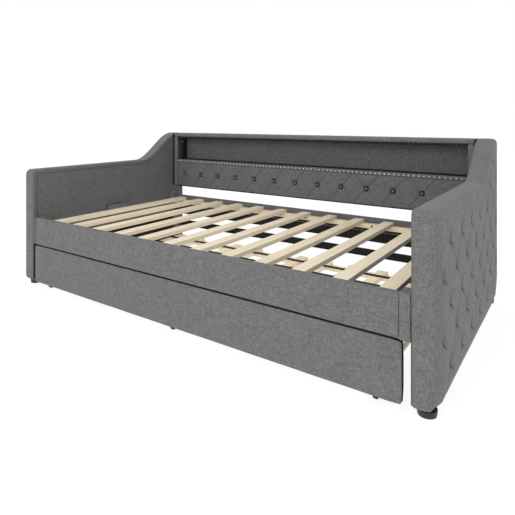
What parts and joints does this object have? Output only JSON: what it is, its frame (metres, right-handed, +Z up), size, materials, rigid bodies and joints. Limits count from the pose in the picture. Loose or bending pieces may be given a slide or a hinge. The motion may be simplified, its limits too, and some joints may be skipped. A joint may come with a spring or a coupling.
{
  "type": "trundle bed",
  "caption": "Upholstered daybed with a low shelf in its tufted back, slatted deck, and a slatted trundle on casters that rolls out from under the front.",
  "frame": {"origin": "on the floor, under the middle of the bed's outline", "axes": "+X along the bed's length, -Y the open front where the trundle rolls out, +Z up"},
  "size_m": [2.1, 1.12, 0.771],
  "materials": {
    "fabric": "grey linen-look weave over foam",
    "lining": "black lining cloth",
    "wood": "planed pale pine",
    "foot": "moulded, matte",
    "caster": "black, satin",
    "wheel": "black, matte"
  },
  "bodies": {
    "root": {"left_arm": "fabric", "right_arm": "fabric", "foot_front_left": "foot", "foot_front_right": "foot", "foot_rear_left": "foot", "foot_rear_right": "foot", "back_rear_board": "fabric", "back_top_board": "fabric", "back_left_end": "fabric", "back_right_end": "fabric", "back_shelf_board": "fabric", "back_tufted_panel": "fabric", "front_rail": "fabric", "corner_block_left": "fabric", "corner_block_right": "fabric", "rear_rail": "fabric", "rear_stretcher": "lining", "front_ledger": "wood", "rear_ledger": "wood", "slat_01": "wood", "slat_02": "wood", "slat_03": "wood", "slat_04": "wood", "slat_05": "wood", "slat_06": "wood", "slat_07": "wood", "slat_08": "wood", "slat_09": "wood", "slat_10": "wood", "slat_11": "wood", "slat_12": "wood"},
    "trundle": {"trundle_front_panel": "fabric", "trundle_front_rail": "wood", "trundle_rear_rail": "wood", "trundle_left_rail": "wood", "trundle_right_rail": "wood", "trundle_slat_01": "wood", "trundle_slat_02": "wood", "trundle_slat_03": "wood", "trundle_slat_04": "wood", "trundle_slat_05": "wood", "trundle_slat_06": "wood", "trundle_slat_07": "wood", "trundle_slat_08": "wood", "trundle_slat_09": "wood", "trundle_slat_10": "wood", "trundle_slat_11": "wood", "trundle_slat_12": "wood", "caster_bracket_front_left": "caster", "caster_bracket_front_middle": "caster", "caster_bracket_front_right": "caster", "caster_bracket_rear_left": "caster", "caster_bracket_rear_middle": "caster", "caster_bracket_rear_right": "caster"},
    "wheel_front_left": {"caster_wheel_front_left": "wheel"},
    "wheel_front_middle": {"caster_wheel_front_middle": "wheel"},
    "wheel_front_right": {"caster_wheel_front_right": "wheel"},
    "wheel_rear_left": {"caster_wheel_rear_left": "wheel"},
    "wheel_rear_middle": {"caster_wheel_rear_middle": "wheel"},
    "wheel_rear_right": {"caster_wheel_rear_right": "wheel"}
  },
  "joints": [
    {"name": "trundle_slide", "type": "slide", "parent": "root", "child": "trundle", "axis": [0, -1, 0], "range_m": [0, 1.02]},
    {"name": "wheel_front_left_spin", "type": "hinge", "parent": "trundle", "child": "wheel_front_left", "pos_m": [-0.862, -0.5315, 0.0125], "axis": [1, 0, 0], "continuous": true},
    {"name": "wheel_front_middle_spin", "type": "hinge", "parent": "trundle", "child": "wheel_front_middle", "pos_m": [0, -0.5315, 0.0125], "axis": [1, 0, 0], "continuous": true},
    {"name": "wheel_front_right_spin", "type": "hinge", "parent": "trundle", "child": "wheel_front_right", "pos_m": [0.862, -0.5315, 0.0125], "axis": [1, 0, 0], "continuous": true},
    {"name": "wheel_rear_left_spin", "type": "hinge", "parent": "trundle", "child": "wheel_rear_left", "pos_m": [-0.862, 0.425, 0.0125], "axis": [1, 0, 0], "continuous": true},
    {"name": "wheel_rear_middle_spin", "type": "hinge", "parent": "trundle", "child": "wheel_rear_middle", "pos_m": [0, 0.425, 0.0125], "axis": [1, 0, 0], "continuous": true},
    {"name": "wheel_rear_right_spin", "type": "hinge", "parent": "trundle", "child": "wheel_rear_right", "pos_m": [0.862, 0.425, 0.0125], "axis": [1, 0, 0], "continuous": true}
  ],
  "couplings": [
    {"joint": "wheel_front_left_spin", "follows": "trundle_slide", "rad_per_m": 80},
    {"joint": "wheel_front_middle_spin", "follows": "trundle_slide", "rad_per_m": 80},
    {"joint": "wheel_front_right_spin", "follows": "trundle_slide", "rad_per_m": 80},
    {"joint": "wheel_rear_left_spin", "follows": "trundle_slide", "rad_per_m": 80},
    {"joint": "wheel_rear_middle_spin", "follows": "trundle_slide", "rad_per_m": 80},
    {"joint": "wheel_rear_right_spin", "follows": "trundle_slide", "rad_per_m": 80}
  ]
}
